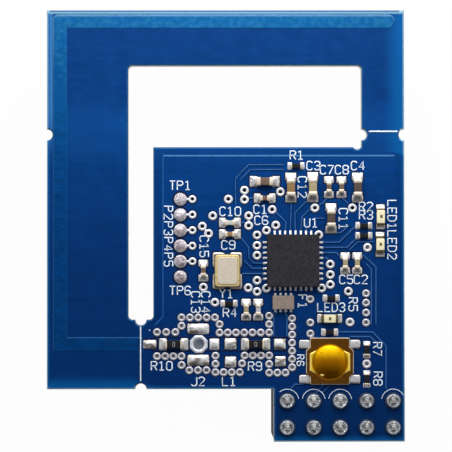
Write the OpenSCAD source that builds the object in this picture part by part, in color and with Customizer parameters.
// Radio add-on board: a blue circuit board with a printed aerial, a radio chip and its small parts,
// a press switch and a ten-way pin socket below.
// The origin is the middle of the socket's mouth. +X and +Y follow the board, +Z points to the parts.

/* [Board] */
// Width of the board
board_w = 34.3; // [33.5:0.1:40]
// Height of the board, with the header tab
board_h = 41.4; // [40.8:0.1:48]
// Thickness of the board
board_t = 1.6; // [0.8:0.1:2.4]
// From the header's middle to the right edge
header_to_right = 6.2; // [6:0.05:8]
// From the header's middle to the lower edge
header_to_bottom = 2.65; // [2.2:0.05:4]
// Width of the header tab
tab_w = 12.55; // [12.2:0.05:16]
// Height of the header tab
tab_h = 5.05; // [3.4:0.05:5.3]

/* [Window] */
// From the header's middle to the island's left edge
island_reach = 17.9; // [17.5:0.1:19]
// From the header's middle to the island's upper edge
island_rise = 25.6; // [25.2:0.1:27]
// Height of the top arm
top_arm_h = 5.3; // [3:0.05:6]
// Width of the right arm, beside the window
right_arm_w = 4.1; // [2.5:0.05:6]
// Width of the window's left leg
window_w = 2.4; // [1.5:0.1:3]
// Height of the bridge below the left leg
bridge_h = 6.65; // [6.4:0.05:8]
// Radius in the window's corners
window_r = 0.4; // [0.1:0.05:0.7]
// Radius of the half-round notches on the break lines
notch_r = 0.54; // [0.3:0.02:0.8]
// From the island's upper edge to the upper break line
break_rise = 1.2; // [0.9:0.05:2]
// Radius of the relief in the window's lower right corner
relief_r = 0.43; // [0.2:0.01:0.6]

/* [Copper] */
// Thickness of the lands and rings
land_t = 0.05; // [0.03:0.01:0.1]
// Thickness of the metal inside a plated hole
barrel_t = 0.05; // [0.03:0.01:0.1]
// Clearance between a plated hole and the laminate
barrel_clear = 0.01; // [0.005:0.005:0.03]
// Width of the aerial band
aerial_w = 1.35; // [0.8:0.05:2]
// From the board's left edge to the aerial band
aerial_inset = 0.6; // [0.3:0.05:1.5]
// From the board's upper edge to the aerial band
aerial_top_inset = 0.4; // [0.3:0.05:1.5]
// From the right edge to the aerial's free end
aerial_end = 0.9; // [0.5:0.1:3]
// Radius of the aerial band's outer corner
aerial_corner_r = 0.45; // [0.2:0.05:0.7]
// Diameter of a via's ring
via_ring_d = 0.74; // [0.5:0.01:0.76]
// Diameter of a via's hole
via_hole_d = 0.3; // [0.2:0.01:0.36]
// Radius of the hole for a wire aerial
aerial_hole_r = 0.53; // [0.4:0.01:0.55]
// Width of the eight-sided ring around that hole
aerial_ring_w = 1.7; // [1.5:0.02:1.76]
// Radius of a programming pad
pad_r = 0.63; // [0.5:0.01:0.7]
// Height of the solder on a programming pad
pad_rise = 0.22; // [0.1:0.01:0.3]
// Distance between programming pads
pad_pitch = 1.49; // [1.45:0.01:1.6]

/* [Header] */
// Distance between pins
pitch = 2.54; // [2.4:0.01:2.6]
// Pins in a row
columns = 5; // [5:1:5]
// Rows of pins
rows = 2; // [2:1:2]
// Height of the socket
socket_h = 8.5; // [6:0.1:11]
// Thickness of the socket's roof
roof_t = 1.2; // [0.8:0.1:2]
// Width of a socket pocket
pocket_w = 1.5; // [1.4:0.05:1.8]
// Depth of the lead-in at a pocket's mouth
mouth_h = 0.9; // [0.5:0.05:1.5]
// Width of the opening at the mouth
mouth_w = 1; // [0.9:0.05:1.3]
// Thickness of a contact's spring leaves
leaf_t = 0.25; // [0.15:0.01:0.3]
// Width of a contact's spring leaves
leaf_w = 1; // [0.7:0.05:1.3]
// Gap between the leaves
leaf_gap = 0.55; // [0.4:0.01:0.64]
// Width of a contact's tail
tail_w = 0.6; // [0.5:0.01:0.64]
// Tail above the board
tail_out = 1.05; // [0.9:0.05:1.6]
// Clearance around a tail and below a contact
tail_clear = 0.05; // [0.02:0.01:0.1]
// Diameter of a header hole, inside its plating
header_hole_d = 0.95; // [0.92:0.01:1.1]
// Diameter of a header ring
header_ring_d = 1.6; // [1.4:0.02:1.8]
// Height of a header solder joint
joint_h = 0.8; // [0.4:0.05:0.9]
// Radius at the top of a header solder joint
joint_top_r = 0.46; // [0.46:0.01:0.55]

/* [Chip parts] */
// Thickness of the metal on the parts' ends
end_t = 0.03; // [0.02:0.005:0.05]
// Height of the solder on a part's end, as a share of the part's height
fillet_share = 0.65; // [0.3:0.05:0.9]
// Land below a part's metal end
land_under = 0.12; // [0.05:0.01:0.2]
// Bare rim of a land past the solder
fillet_rim = 0.06; // [0.02:0.01:0.12]
// Length of a large capacitor
large_cap_l = 1.6; // [1.4:0.05:1.9]
// Width of a large capacitor
large_cap_w = 0.8; // [0.6:0.05:0.95]
// Height of a large capacitor
large_cap_h = 0.8; // [0.4:0.05:1]
// Metal end of a large capacitor
large_cap_end = 0.35; // [0.2:0.05:0.5]
// Span of a large capacitor's two lands
large_cap_span = 2.9; // [2.4:0.05:2.95]
// Width of a large capacitor's lands
large_cap_land_w = 1.05; // [0.9:0.05:1.1]
// Length of a small capacitor
small_cap_l = 1; // [0.9:0.05:1.3]
// Width of a small capacitor
small_cap_w = 0.5; // [0.4:0.05:0.7]
// Height of a small capacitor
small_cap_h = 0.5; // [0.3:0.05:0.7]
// Metal end of a small capacitor
small_cap_end = 0.25; // [0.15:0.05:0.35]
// Span of a small capacitor's two lands
small_cap_span = 2.1; // [1.7:0.05:2.2]
// Width of a small capacitor's lands
small_cap_land_w = 0.95; // [0.6:0.05:1]
// Length of a large resistor
large_res_l = 1.6; // [1.4:0.05:1.9]
// Width of a large resistor
large_res_w = 0.85; // [0.6:0.05:1]
// Height of a large resistor
large_res_h = 0.45; // [0.3:0.05:0.6]
// Metal end of a large resistor
large_res_end = 0.3; // [0.2:0.05:0.5]
// Span of a large resistor's two lands
large_res_span = 2.8; // [2.2:0.05:2.85]
// Width of a large resistor's lands
large_res_land_w = 1.15; // [0.9:0.05:1.2]
// Length of a small resistor
small_res_l = 1; // [0.9:0.05:1.2]
// Width of a small resistor
small_res_w = 0.5; // [0.4:0.05:0.6]
// Height of a small resistor
small_res_h = 0.35; // [0.25:0.05:0.5]
// Metal end of a small resistor
small_res_end = 0.25; // [0.15:0.05:0.35]
// Span of a small resistor's two lands
small_res_span = 1.65; // [1.4:0.05:1.75]
// Width of a small resistor's lands
small_res_land_w = 0.7; // [0.5:0.05:0.8]

/* [Lamps] */
// Length of a lamp
led_l = 1.6; // [1.5:0.05:1.9]
// Width of a lamp
led_w = 0.8; // [0.6:0.05:0.9]
// Thickness of a lamp's base
led_base_t = 0.25; // [0.2:0.05:0.4]
// Metal end of a lamp
led_end = 0.25; // [0.15:0.05:0.3]
// Height of a lamp's lens above its base
lens_h = 0.35; // [0.2:0.05:0.6]
// Gap between the lens and the metal ends
lens_gap = 0.03; // [0.01:0.01:0.08]
// Span of a lamp's two lands
led_span = 2.4; // [2:0.05:2.45]
// Width of a lamp's lands
led_land_w = 0.85; // [0.6:0.05:0.9]

/* [Radio chip] */
// Width of the chip's body
chip_w = 5; // [4.6:0.05:5.3]
// Height of the chip's body
chip_h = 0.85; // [0.6:0.05:1.2]
// Leads on each side
chip_side_leads = 8; // [4:1:8]
// Distance between leads
lead_pitch = 0.5; // [0.4:0.01:0.53]
// Width of a lead
lead_w = 0.25; // [0.15:0.01:0.3]
// Length of a lead under the body
lead_l = 0.4; // [0.3:0.05:0.5]
// Thickness of a lead
lead_t = 0.2; // [0.1:0.01:0.3]
// Width of the chip's belly pad
belly_w = 3.1; // [2.5:0.05:3.4]
// Land past the chip's body
lead_land_out = 0.4; // [0.2:0.02:0.5]
// Height of the solder at a lead
lead_fillet_h = 0.18; // [0.08:0.01:0.2]

/* [Crystal] */
// Length of the crystal's base
crystal_l = 3.2; // [2.8:0.05:3.5]
// Width of the crystal's base
crystal_w = 2.5; // [2.2:0.05:2.7]
// Height of the crystal's base
crystal_base_h = 0.45; // [0.3:0.05:0.7]
// From the base's edge to the seal ring
crystal_step = 0.08; // [0.05:0.01:0.15]
// Width of the seal ring
crystal_ring_w = 0.2; // [0.1:0.01:0.3]
// Height of the seal ring
crystal_ring_h = 0.12; // [0.08:0.01:0.2]
// Thickness of the lid
crystal_lid_t = 0.1; // [0.06:0.01:0.2]
// From the ring's outer edge to the lid's edge
crystal_lid_step = 0.12; // [0.05:0.01:0.15]
// Land past the base
crystal_land_out = 0.16; // [0.05:0.01:0.25]
// Length of a crystal land
crystal_land_l = 1.45; // [1:0.05:1.5]
// Width of a crystal land
crystal_land_w = 1.15; // [0.8:0.05:1.2]

/* [Filter] */
// Length of the filter
filter_l = 2.05; // [1.9:0.05:2.3]
// Width of the filter
filter_w = 1.3; // [1.1:0.05:1.45]
// Height of the filter
filter_h = 0.6; // [0.4:0.05:1]
// Contacts on each long side
filter_contacts_n = 4; // [2:1:4]
// Distance between contacts
filter_pitch = 0.5; // [0.4:0.01:0.52]
// Width of a contact
filter_contact_w = 0.28; // [0.15:0.01:0.32]
// Depth of a contact in the filter's side
filter_contact_t = 0.1; // [0.05:0.01:0.15]
// Height of a contact, as a share of the filter's height
filter_contact_share = 0.6; // [0.3:0.05:0.9]
// Land past the filter
filter_land_out = 0.3; // [0.15:0.05:0.35]

/* [Switch] */
// Length of the switch base, along Y
switch_l = 4.65; // [4.4:0.05:4.75]
// Width of the switch base across its middle
switch_w = 4.55; // [4.2:0.05:4.8]
// Width of the switch base between its terminals
switch_waist = 3.8; // [3.7:0.05:4.1]
// Length of the wide middle
switch_mid_l = 2.5; // [2:0.05:2.5]
// Height of the switch base
switch_base_h = 0.45; // [0.4:0.05:0.8]
// Distance between terminals along Y
terminal_pitch = 3.35; // [3.35:0.05:3.8]
// Width of a terminal
terminal_w = 0.8; // [0.5:0.05:0.82]
// Thickness of a terminal
terminal_t = 0.15; // [0.1:0.01:0.2]
// Length of a terminal outside the base
terminal_out = 1.03; // [0.7:0.01:1.1]
// Radius of the dome
dome_r = 1.7; // [1.4:0.05:1.75]
// Rise of the dome above its rim
dome_rise = 0.4; // [0.32:0.01:0.5]
// Thickness of the dome
dome_t = 0.07; // [0.05:0.01:0.1]
// Half-length of the dome's side ears
ear_reach = 1.95; // [1.8:0.05:2]
// Width of the dome's side ears
ear_w = 1.7; // [1:0.05:1.9]
// Clearance around the dome in its pocket
dome_clear = 0.04; // [0.02:0.01:0.08]
// Travel of the dome
press_travel = 0.2; // [0.1:0.01:0.22]
// Seat left under the dome's rim
rim_seat = 0.25; // [0.15:0.01:0.4]
// Thickness of the film
film_t = 0.05; // [0.03:0.01:0.08]
// Clearance between the film and the dome
film_clear = 0.02; // [0.01:0.01:0.04]
// From the base's edge to the film's edge
film_inset = 0.13; // [0.05:0.01:0.2]

/* [Hidden] */
$fn = 48;
// Reach of cuts past the face they cut
past = 1;

// Edges of the board and of its window
right_x = header_to_right;
left_x = right_x - board_w;
low_y = -header_to_bottom;
top_y = low_y + board_h;
main_low_y = low_y + tab_h;
island_x = -island_reach;
island_y = island_rise;
window_left_x = island_x - window_w;
window_right_x = right_x - right_arm_w;
window_top_y = top_y - top_arm_h;
window_low_y = main_low_y + bridge_h;
break_x = (window_left_x + island_x) / 2;
break_y = island_y + break_rise;

// Levels
under_z = socket_h;
top_z = under_z + board_t;
part_z = top_z + land_t;

// Plated holes
via_r = via_hole_d / 2;
header_r = header_hole_d / 2;
function drill_r(hole_r) = hole_r + barrel_t + barrel_clear;

// The radio line runs along the bridge at this height
line_y = 6.7;
feed_x = island_x - 0.35;
aerial_hole = [-13.55, line_y];

// Header pins, from the middle
pins = [for (c = [0 : columns - 1]) for (r = [0 : rows - 1])
    [(c - (columns - 1) / 2) * pitch, (r - (rows - 1) / 2) * pitch]];

// Programming pads, each but the last with a via beside it
pad_x = -15.3;
pad_first_y = 20.6;
pad_via_step = 1.15;
pads = [for (i = [0 : 5]) [pad_x, pad_first_y - i * pad_pitch]];

// Middles of the larger parts
chip_at = [-4.5, 14.7];
crystal_at = [-10.8, 13.75];
filter_at = [-5.45, 10.7];
switch_at = [-1, 5];

// Vias beside the radio line, as runs of [x, y, step in x, step in y, count]
fence_runs = [
    [-17.55, 7.85, 0.88, 0, 3], [-15.2, 8.45, 0, 0.8, 2], [-14.4, 9.25, 0.8, 0, 4],
    [-11.55, 8.6, 0, -0.8, 2], [-10.77, 7.8, 0.79, 0, 5], [-6.8, 7.8, 0, 0.8, 3],
    [-4.6, 9.15, 0, -0.78, 7], [-6.8, 3.95, 0.78, 0, 3], [-6.8, 5.6, 0, -0.82, 2],
    [-9.15, 5.6, 0.78, 0, 3], [-9.4, 4.84, 0, 0, 1], [-11.95, 4, 0.78, 0, 4],
    [-14.45, 4.2, 0.82, 0, 3], [-15.2, 4.7, 0, 0, 1], [-17.55, 5.55, 0.78, 0, 4],
    [-11.95, 5.58, 0, -0.78, 2]];
// Vias on the island
single_vias = [
    [-10.7, 20.6], [-12.2, 19], [-9.15, 21.45], [-9.15, 20.55], [-8.75, 19], [-8.75, 18.05],
    [-13.2, 18], [-12.6, 17.3], [-6.5, 19.6], [-5.7, 21.3], [-6.15, 18.1], [-7.05, 17.6],
    [-2.4, 19.75], [1.2, 19.75], [2.65, 15.95], [-8.8, 12.1], [-13.1, 12.15], [-12, 10.7],
    [-2.85, 11], [-2.85, 8.75], [-2.85, 7.7], [0.8, 11.75], [0.95, 8.8], [2.5, 11.55],
    [2.5, 10.65], [2.5, 9.7], [2.5, 8.75], [2.55, 4.8]];
// Vias that follow the chip's edges, from its left edge, its right edge and its corners
chip_left_via_x = chip_at.x - chip_w / 2 - 0.95;
chip_right_via_x = chip_at.x + chip_w / 2 + 1.07;
chip_low_via_y = chip_at.y - chip_w / 2 - 0.12;
// Vias at three corners of the chip, as the corner and the step past it in x and y
chip_corners = [[[-1, -1], [-0.04, -0.14]], [[1, -1], [0.24, -0.14]], [[1, 1], [-0.03, -0.03]]];
chip_vias = concat(
    [for (y = [17.15, 16.15, 15.2, 12.8]) [chip_left_via_x, y]],
    [for (y = [14.35, 13.35, 12.4]) [chip_right_via_x, y]],
    [for (c = chip_corners) chip_at + chip_w / 2 * c[0] + c[1]],
    [[chip_left_via_x, chip_low_via_y - 0.35]]);
vias = concat(
    [for (r = fence_runs) for (i = [0 : r[4] - 1]) [r[0] + i * r[2], r[1] + i * r[3]]],
    single_vias,
    chip_vias,
    [for (i = [0 : len(pads) - 2]) pads[i] + [pad_via_step, 0]]);

// Kinds of chip part: length, width, height, metal end, span of the lands, width of the lands
large_cap = [large_cap_l, large_cap_w, large_cap_h, large_cap_end, large_cap_span, large_cap_land_w];
small_cap = [small_cap_l, small_cap_w, small_cap_h, small_cap_end, small_cap_span, small_cap_land_w];
large_res = [large_res_l, large_res_w, large_res_h, large_res_end, large_res_span, large_res_land_w];
small_res = [small_res_l, small_res_w, small_res_h, small_res_end, small_res_span, small_res_land_w];
led = [led_l, led_w, led_base_t, led_end, led_span, led_land_w];

// Chip parts as [x, y, turn, kind, colour]
capacitors = [
    [-7.2, 22.3, 0, large_cap, "#6e503c"], [-4.7, 21.7, 90, large_cap, "#876946"],
    [-2.6, 21.75, 90, large_cap, "#aa9669"], [1.7, 21.7, 90, large_cap, "#5f4b41"],
    [-0.85, 18.75, 90, large_cap, "#463c32"], [-7.2, 20.7, 0, small_cap, "#6e503c"],
    [-1.05, 21.75, 90, small_cap, "#785f5a"], [0.15, 21.75, 90, small_cap, "#785f5a"],
    [-10.55, 18.35, 0, small_cap, "#c8d2be"], [-10.55, 17.25, 0, small_cap, "#8c6e46"],
    [0.5, 14.45, 90, small_cap, "#a59678"], [1.65, 14.45, 90, small_cap, "#a59678"],
    [-9, 10, 90, small_cap, "#96785f"], [-7.85, 10, 90, small_cap, "#c3b9be"],
    [-13.1, 13.75, 90, small_cap, "#6e5041"]];
resistors = [
    [-4.2, 23.8, 0, small_res], [2.3, 18.05, 0, small_res], [2.3, 17.1, 0, small_res],
    [-10.65, 10.6, 0, small_res], [-0.85, 11.1, 0, small_res], [-1, 7.85, 0, small_res],
    [2.55, 6.15, 90, small_res], [2.55, 3.35, 90, small_res],
    [-15.95, line_y, 0, large_res], [-8.1, line_y, 0, large_res]];
leds = [[3.9, 18.9, 90, led], [3.85, 16.25, 90, led], [-1, 9.15, 0, led]];

// Other lands as [x, y, width, height]
plain_lands = [
    [feed_x, line_y, 1.3, 0.85],
    [-13.6, line_y + 1.48, 2.1, 1.05], [-13.6, line_y - 1.52, 2.1, 1.05],
    [-12.05, line_y, 0.95, 1.1],
    [-10.5, line_y + 0.05, 1.15, 1.1], [-10.5, line_y - 1.7, 1.1, 1.05],
    [-5.77, line_y, 1.15, 1.05], [-5.72, line_y - 1.65, 1.05, 1]];

function numbered(name, list) = [for (i = [1 : len(list)]) str(name, "_", i)];

// A block centred in X and Y, standing on z = 0
module block(size) {
    translate([-size.x / 2, -size.y / 2, 0]) cube(size);
}

// A rectangle between two corners
module span(low, high) {
    translate(low) square(high - low);
}

// The same with round corners
module round_span(low, high, r) {
    span(low + [r, 0], high - [r, 0]);
    span(low + [0, r], high - [0, r]);
    for (x = [low.x + r, high.x - r]) for (y = [low.y + r, high.y - r])
        translate([x, y]) circle(r);
}

// Puts a part at its place on the board's lands
module seat(part) {
    translate([part[0], part[1], part_z]) rotate(part[2]) children();
}

// Both ends of a chip part, the second one turned round
module both_ends() {
    for (turn = [0, 180]) rotate(turn) children();
}

// A plated hole with a ring on each face of the board
module eyelet(hole_r, ring_r) {
    barrel_r = hole_r + barrel_t;
    rotate_extrude() polygon([
        [hole_r, -land_t], [ring_r, -land_t], [ring_r, 0], [barrel_r, 0],
        [barrel_r, board_t], [ring_r, board_t], [ring_r, board_t + land_t], [hole_r, board_t + land_t]]);
}

// The body of a chip part between and inside its metal ends
module chip_core(kind) {
    translate([0, 0, end_t]) block([kind[0], kind[1], kind[2]] - 2 * end_t * [1, 1, 1]);
}

// The metal ends of a chip part
module chip_ends(kind) {
    both_ends() difference() {
        translate([kind[0] / 2 - kind[3], -kind[1] / 2, 0]) cube([kind[3], kind[1], kind[2]]);
        chip_core(kind);
    }
}

// The two lands below a chip part
module chip_lands(kind) {
    inner = kind[0] / 2 - land_under;
    both_ends() translate([inner, -kind[5] / 2, -land_t]) cube([kind[4] / 2 - inner, kind[5], land_t]);
}

// A wedge of solder from x = start, on a width, with a run and a rise
module wedge(start, width, run, rise) {
    translate([start, width / 2, 0]) rotate([90, 0, 0])
        linear_extrude(width) polygon([[0, 0], [run, 0], [0, rise]]);
}

// The solder at both ends of a chip part
module chip_fillets(kind) {
    run = kind[4] / 2 - kind[0] / 2 - fillet_rim;
    both_ends() wedge(kind[0] / 2, kind[1], run, kind[2] * fillet_share);
}

// Places along the chip's four sides, at the body's edge
module each_lead() {
    translate([chip_at.x, chip_at.y, part_z]) for (side = [0 : 3]) rotate(90 * side)
        for (i = [0 : chip_side_leads - 1])
            translate([chip_w / 2, (i - (chip_side_leads - 1) / 2) * lead_pitch, 0]) children();
}

// Places along the filter's two long sides, at the body's edge
module each_filter_contact() {
    translate([filter_at.x, filter_at.y, part_z]) both_ends()
        for (i = [0 : filter_contacts_n - 1])
            translate([(i - (filter_contacts_n - 1) / 2) * filter_pitch, filter_w / 2, 0]) children();
}

// Places of the four switch terminals, at the base's side
module each_terminal() {
    translate([switch_at.x, switch_at.y, part_z]) both_ends() for (s = [-1, 1])
        translate([switch_waist / 2, s * terminal_pitch / 2, 0]) children();
}

// Board
module board_outline() {
    span([left_x, main_low_y], [right_x, top_y]);
    span([right_x - tab_w, low_y], [right_x, main_low_y + notch_r]);
}

module window_outline() {
    round_span([window_left_x, island_y], [window_right_x, window_top_y], window_r);
    round_span([window_left_x, window_low_y], [island_x, window_top_y], window_r);
    // Square lower right corner with its round relief, and square corner of the island
    span([window_right_x - 2 * window_r, island_y], [window_right_x, island_y + 2 * window_r]);
    span([island_x - window_r, island_y], [island_x + window_r, island_y + window_r]);
    translate([window_right_x - relief_r, island_y + relief_r / 2]) circle(relief_r);
}

module circuit_board() {
    color("#0a468c") translate([0, 0, under_z]) difference() {
        linear_extrude(board_t) difference() {
            board_outline();
            window_outline();
            for (p = [[left_x, break_y], [right_x, break_y], [window_right_x, break_y],
                      [break_x, window_low_y], [break_x, main_low_y]])
                translate(p) circle(notch_r);
        }
        translate([0, 0, -past]) {
            for (p = vias) translate(p) cylinder(r = drill_r(via_r), h = board_t + 2 * past);
            for (p = pins) translate(p) cylinder(r = drill_r(header_r), h = board_t + 2 * past);
            translate(aerial_hole) cylinder(r = drill_r(aerial_hole_r), h = board_t + 2 * past);
        }
    }
}

// Copper
module aerial_track() {
    out_x = left_x + aerial_inset;
    out_y = top_y - aerial_top_inset;
    end_x = right_x - aerial_end - aerial_w / 2;
    low = line_y - aerial_w / 2;
    feed_end_x = feed_x - plain_lands[0][2] / 2;
    color("#0f5fa5") translate([0, 0, top_z]) linear_extrude(land_t) {
        span([out_x, low], [feed_end_x, low + aerial_w]);
        span([out_x, low], [out_x + aerial_w, out_y - aerial_corner_r]);
        span([out_x + aerial_corner_r, out_y - aerial_w], [end_x, out_y]);
        // Round corner and round free end
        translate([out_x, out_y] + aerial_corner_r * [1, -1]) circle(aerial_corner_r);
        translate([end_x, out_y - aerial_w / 2]) circle(aerial_w / 2);
    }
}

module plated_vias() {
    color("#c8c8d2") translate([0, 0, under_z]) for (p = vias)
        translate(p) eyelet(via_r, via_ring_d / 2);
}

module aerial_eyelet() {
    ring_r = aerial_ring_w / 2 / cos(180 / 8);
    color("#d2d2d7") translate([aerial_hole.x, aerial_hole.y, under_z]) difference() {
        union() {
            cylinder(r = aerial_hole_r + barrel_t, h = board_t);
            for (z = [-land_t, board_t]) translate([0, 0, z])
                rotate(180 / 8) cylinder(r = ring_r, h = land_t, $fn = 8);
        }
        translate([0, 0, -past]) cylinder(r = aerial_hole_r, h = board_t + 2 * past);
    }
}

module header_eyelets() {
    color("#c8c8d2") translate([0, 0, under_z]) for (p = pins)
        translate(p) eyelet(header_r, header_ring_d / 2);
}

module solder_lands() {
    color("#d7d7dc") {
        for (part = concat(capacitors, resistors, leds)) seat(part) chip_lands(part[3]);
        for (l = plain_lands) translate([l[0], l[1], top_z]) block([l[2], l[3], land_t]);
        each_lead() translate([-lead_l, -lead_w / 2, -land_t])
            cube([lead_l + lead_land_out, lead_w, land_t]);
        translate([chip_at.x, chip_at.y, top_z]) block([belly_w, belly_w, land_t]);
        each_filter_contact() translate([-filter_contact_w / 2, -filter_contact_t, -land_t])
            cube([filter_contact_w, filter_contact_t + filter_land_out, land_t]);
        for (sx = [-1, 1]) for (sy = [-1, 1])
            translate([crystal_at.x + sx * (crystal_w / 2 + crystal_land_out - crystal_land_w / 2),
                       crystal_at.y + sy * (crystal_l / 2 + crystal_land_out - crystal_land_l / 2), top_z])
                block([crystal_land_w, crystal_land_l, land_t]);
        each_terminal() translate([0, -terminal_w / 2, -land_t]) cube([terminal_out, terminal_w, land_t]);
    }
}

module programming_pads() {
    ball_r = (pad_r * pad_r + pad_rise * pad_rise) / (2 * pad_rise);
    color("#c3c3c8") for (p = pads) translate([p.x, p.y, top_z]) {
        cylinder(r = pad_r, h = land_t);
        translate([0, 0, land_t]) intersection() {
            translate([0, 0, pad_rise - ball_r]) sphere(ball_r);
            cylinder(r = pad_r, h = pad_rise);
        }
    }
}

// Header
module header_solder() {
    ring_r = header_ring_d / 2 - fillet_rim;
    steps = 4;
    curve = [for (i = [0 : steps])
        [joint_top_r + (ring_r - joint_top_r) * pow(1 - i / steps, 2), joint_h * i / steps]];
    color("#afafb4") for (p = pins) translate([p.x, p.y, part_z]) difference() {
        rotate_extrude() polygon(concat([[0, 0]], curve, [[0, joint_h]]));
        translate([0, 0, -past]) block([tail_w, tail_w, joint_h + 2 * past]);
    }
}

module socket_housing() {
    slot_w = tail_w + 2 * tail_clear;
    color("#17171a") difference() {
        block([columns * pitch, rows * pitch, socket_h - land_t]);
        for (p = pins) translate([p.x, p.y, 0]) {
            translate([0, 0, mouth_h]) block([pocket_w, pocket_w, socket_h - land_t - roof_t - mouth_h]);
            translate([0, 0, -past]) block([mouth_w, mouth_w, mouth_h + 2 * past]);
            translate([0, 0, socket_h - land_t - roof_t - past]) block([slot_w, slot_w, roof_t + 2 * past]);
        }
    }
}

module socket_contacts() {
    roof_z = socket_h - land_t - roof_t;
    low_z = mouth_h + tail_clear;
    foot_w = leaf_gap + 2 * leaf_t;
    color("#c8aa5f") for (p = pins) translate([p.x, p.y, 0]) {
        for (turn = [0, 180]) rotate(turn)
            translate([-leaf_w / 2, leaf_gap / 2, low_z]) cube([leaf_w, leaf_t, roof_z - low_z]);
        translate([0, 0, roof_z - leaf_t]) block([leaf_w, foot_w, leaf_t]);
        translate([0, 0, roof_z - leaf_t]) block([tail_w, tail_w, top_z + tail_out - roof_z + leaf_t]);
    }
}

// Radio chip
module radio_chip_body() {
    color("#2d2b30") difference() {
        translate([chip_at.x, chip_at.y, part_z]) block([chip_w, chip_w, chip_h]);
        each_lead() translate([-lead_l, -lead_w / 2, -past]) cube([lead_l + past, lead_w, lead_t + past]);
        translate([chip_at.x, chip_at.y, part_z - past]) block([belly_w, belly_w, lead_t + past]);
    }
}

module radio_chip_leads() {
    color("#d7d7dc") each_lead() translate([-lead_l, -lead_w / 2, 0]) cube([lead_l, lead_w, lead_t]);
}

module radio_chip_pad() {
    color("#c3c3c8") translate([chip_at.x, chip_at.y, part_z]) block([belly_w, belly_w, lead_t]);
}

// Crystal
module crystal_base() {
    color("#645a50") translate([crystal_at.x, crystal_at.y, part_z])
        block([crystal_w, crystal_l, crystal_base_h]);
}

module crystal_ring() {
    out = [crystal_w - 2 * crystal_step, crystal_l - 2 * crystal_step];
    inner = out - 2 * crystal_ring_w * [1, 1];
    color("#d2bea0") translate([crystal_at.x, crystal_at.y, part_z + crystal_base_h]) difference() {
        block([out.x, out.y, crystal_ring_h]);
        translate([0, 0, -past]) block([inner.x, inner.y, crystal_ring_h + 2 * past]);
    }
}

module crystal_lid() {
    less = 2 * (crystal_step + crystal_lid_step);
    color("#c8beb9") translate([crystal_at.x, crystal_at.y, part_z + crystal_base_h + crystal_ring_h])
        block([crystal_w - less, crystal_l - less, crystal_lid_t]);
}

// Filter
module filter_body() {
    color("#8c7d73") difference() {
        translate([filter_at.x, filter_at.y, part_z]) block([filter_l, filter_w, filter_h]);
        each_filter_contact() translate([-filter_contact_w / 2, -filter_contact_t, -past])
            cube([filter_contact_w, filter_contact_t + past, filter_h + 2 * past]);
    }
}

module filter_contacts() {
    color("#d7d7dc") each_filter_contact() translate([-filter_contact_w / 2, -filter_contact_t, 0])
        cube([filter_contact_w, filter_contact_t, filter_h * filter_contact_share]);
}

// Switch
module switch_outline(inset) {
    square([switch_waist - 2 * inset, switch_l - 2 * inset], center = true);
    square([switch_w - 2 * inset, switch_mid_l - 2 * inset], center = true);
}

// The dome with its ears seen from above, grown by a clearance
module dome_outline(grow) {
    circle(dome_r + grow);
    square([2 * (ear_reach + grow), ear_w + 2 * grow], center = true);
}

// The part above the switch base's upper face, or above a level below it
module above(drop) {
    intersection() {
        children();
        translate([0, 0, -drop]) block([switch_w, switch_l, 2 * dome_rise]);
    }
}

// A ball whose cap is the dome's outside, grown by a clearance
module dome_ball(grow) {
    ball_r = (dome_r * dome_r + dome_rise * dome_rise) / (2 * dome_rise);
    translate([0, 0, dome_rise - dome_t - ball_r]) sphere(ball_r + grow);
}

module switch_base() {
    color("#e6dcc3") translate([switch_at.x, switch_at.y, top_z]) difference() {
        linear_extrude(switch_base_h) switch_outline(0);
        translate([0, 0, switch_base_h - dome_t]) linear_extrude(dome_t + past) dome_outline(dome_clear);
        translate([0, 0, switch_base_h - dome_t - press_travel])
            cylinder(r = dome_r - rim_seat, h = press_travel + past);
    }
}

module switch_terminals() {
    color("#d2d2d7") each_terminal() translate([0, -terminal_w / 2, 0])
        cube([terminal_out, terminal_w, terminal_t]);
}

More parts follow.
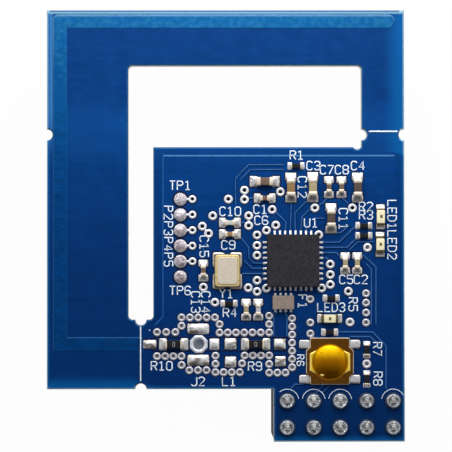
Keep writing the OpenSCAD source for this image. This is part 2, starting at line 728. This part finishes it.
module switch_dome() {
    color("#c3b48c") translate([switch_at.x, switch_at.y, top_z + switch_base_h]) {
        above(dome_t) difference() {
            dome_ball(0);
            dome_ball(-dome_t);
        }
        translate([0, 0, -dome_t]) linear_extrude(dome_t) difference() {
            dome_outline(0);
            circle(dome_r - rim_seat / 2);
        }
    }
}

module switch_film() {
    color("#a06e19") translate([switch_at.x, switch_at.y, top_z + switch_base_h]) {
        above(0) difference() {
            dome_ball(film_clear + film_t);
            dome_ball(film_clear);
        }
        difference() {
            linear_extrude(film_t) switch_outline(film_inset);
            dome_ball(film_clear);
        }
    }
}

// Lamps
module led_bases() {
    color("#e6e1d2") for (part = leds) seat(part) chip_core(led);
}

module led_terminals() {
    color("#d2d2d7") for (part = leds) seat(part) chip_ends(led);
}

module led_lens(i) {
    foot = led_base_t - end_t;
    color("#f0e6be") seat(leds[i]) translate([0, 0, foot])
        block([led_l - 2 * (led_end + lens_gap), led_w - 2 * end_t, end_t + lens_h]);
}

// Capacitors and resistors
module capacitor(i) {
    color(capacitors[i][4]) seat(capacitors[i]) chip_core(capacitors[i][3]);
}

module capacitor_terminals() {
    color("#d7d7dc") for (part = capacitors) seat(part) chip_ends(part[3]);
}

module resistor(i) {
    color("#1e1c20") seat(resistors[i]) chip_core(resistors[i][3]);
}

module resistor_terminals() {
    color("#d7d7dc") for (part = resistors) seat(part) chip_ends(part[3]);
}

// Solder
module solder_fillets() {
    color("#e1e1e6") {
        for (part = concat(capacitors, resistors, leds)) seat(part) chip_fillets(part[3]);
        each_lead() wedge(0, lead_w, lead_land_out - fillet_rim, lead_fillet_h);
    }
}

circuit_board();
aerial_track();
plated_vias();
solder_lands();
programming_pads();
aerial_eyelet();
header_eyelets();
header_solder();
socket_housing();
socket_contacts();
radio_chip_body();
radio_chip_leads();
radio_chip_pad();
crystal_base();
crystal_ring();
crystal_lid();
filter_body();
filter_contacts();
switch_base();
switch_terminals();
switch_dome();
switch_film();
led_bases();
led_terminals();
capacitor_terminals();
resistor_terminals();
solder_fillets();
for (i = [0 : len(leds) - 1])
    led_lens(i);
for (i = [0 : len(capacitors) - 1])
    capacitor(i);
for (i = [0 : len(resistors) - 1])
    resistor(i);
